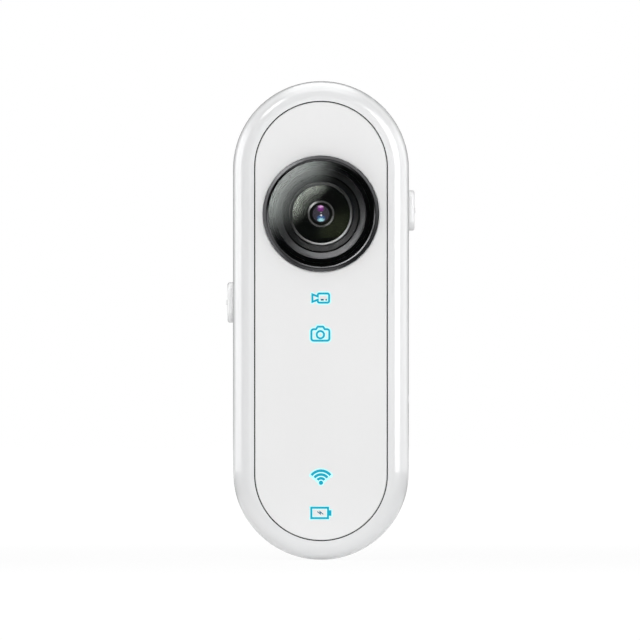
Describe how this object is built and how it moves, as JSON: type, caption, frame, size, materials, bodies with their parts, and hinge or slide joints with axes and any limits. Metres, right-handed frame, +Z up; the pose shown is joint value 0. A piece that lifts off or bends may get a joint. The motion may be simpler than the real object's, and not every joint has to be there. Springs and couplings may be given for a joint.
{
  "type": "body camera",
  "caption": "Slim pill-shaped wearable camera with one large front lens, side push buttons, a hinged port door and a sprung clothing clip behind.",
  "frame": {"origin": "on the flat rear face, in the middle of the clip's pad, where the clip grips clothing", "axes": "+Z up as worn, the front face and lens look along -Y, +X is the viewer's right"},
  "size_m": [0.029, 0.0253, 0.0735],
  "materials": {
    "white_shell": "moulded, high gloss",
    "white_panel": "moulded, satin gloss",
    "black_ring": "black with a grey satin edge",
    "black_inner": "matt black with grey rings",
    "clear_glass": "coated, polished",
    "coated_glass": "green and olive coating",
    "small_glass": "magenta and cyan coating",
    "steel": "fine brushed",
    "bright_steel": "polished",
    "rubber_black": "moulded, matt",
    "rubber_grey": "moulded, matt",
    "rubber_white": "moulded, matt",
    "circuit_board": "solder mask over woven glass",
    "chip": "moulded, matt",
    "sensor_face": "polished chip under glass",
    "filter_glass": "pale cyan, polished",
    "foil": "satin foil",
    "foam": "soft foam",
    "tape": "adhesive foam tape",
    "ribbon": "flexible film",
    "lead_sheath": "soft sheath",
    "white_plug": "moulded",
    "clear_plastic": "clear moulded plastic",
    "lamp": "cast resin",
    "card": "moulded, matt",
    "brass_mesh": "fine woven"
  },
  "bodies": {
    "housing": {"front_housing": "white_shell", "rear_cover": "white_shell", "front_panel": "white_panel", "panel_tape": "tape", "housing_gasket": "rubber_grey", "case_screws": "steel", "lens_bezel": "black_ring", "cover_glass": "clear_glass", "bezel_seal": "rubber_black", "lens_hood": "black_inner", "lens_barrel": "black_inner", "front_lens": "coated_glass", "throat_ring": "bright_steel", "middle_lens": "small_glass", "rear_lens": "small_glass", "lens_holder": "chip", "infrared_filter": "filter_glass", "image_sensor": "sensor_face", "sensor_board": "circuit_board", "sensor_screws": "steel", "sensor_ribbon": "ribbon", "ribbon_plug": "white_plug", "main_board": "circuit_board", "board_screws": "steel", "shield_can": "steel", "processor": "chip", "indicator_leds": "lamp", "microphone": "steel", "microphone_boot": "rubber_black", "battery": "foil", "battery_foam": "foam", "battery_leads": "lead_sheath", "battery_plug": "white_plug", "speaker": "chip", "speaker_mesh": "brass_mesh", "wireless_antenna": "ribbon", "charging_socket": "steel", "card_socket": "steel", "port_door_pin": "steel", "clip_bracket": "white_shell", "clip_screws": "steel", "clip_pin": "steel", "clip_spring": "bright_steel", "video_light_guide": "clear_plastic", "photo_light_guide": "clear_plastic", "wireless_light_guide": "clear_plastic", "charge_light_guide": "clear_plastic", "left_button_seal": "rubber_white", "left_switch": "chip", "right_button_seal": "rubber_white", "right_switch": "chip"},
    "left_button": {"left_button": "white_shell", "left_plunger": "white_plug"},
    "right_button": {"right_button": "white_shell", "right_plunger": "white_plug"},
    "port_door": {"port_door": "white_shell", "port_seal": "rubber_grey"},
    "memory_card": {"memory_card": "card"},
    "clip_lever": {"clip_lever": "white_shell", "clip_pad": "rubber_grey"}
  },
  "joints": [
    {"name": "left_button_press", "type": "slide", "parent": "housing", "child": "left_button", "axis": [1, 0, 0], "range_m": [0, 0.0004], "stiffness_N_per_m": 4000},
    {"name": "right_button_press", "type": "slide", "parent": "housing", "child": "right_button", "axis": [-1, 0, 0], "range_m": [0, 0.0004], "stiffness_N_per_m": 4000},
    {"name": "port_door_hinge", "type": "hinge", "parent": "housing", "child": "port_door", "pos_m": [0.01293, -0.0074, 0.00334], "axis": [0, 0, 1], "range_deg": [0, 90]},
    {"name": "memory_card_press", "type": "slide", "parent": "housing", "child": "memory_card", "axis": [-1, 0, 0], "range_m": [0, 0.0008], "stiffness_N_per_m": 2000},
    {"name": "clip_lever_hinge", "type": "hinge", "parent": "housing", "child": "clip_lever", "pos_m": [0, 0.003, 0.03], "axis": [1, 0, 0], "range_deg": [0, 15], "stiffness_Nm_per_rad": 0.045, "deforming": ["clip_spring"]}
  ]
}
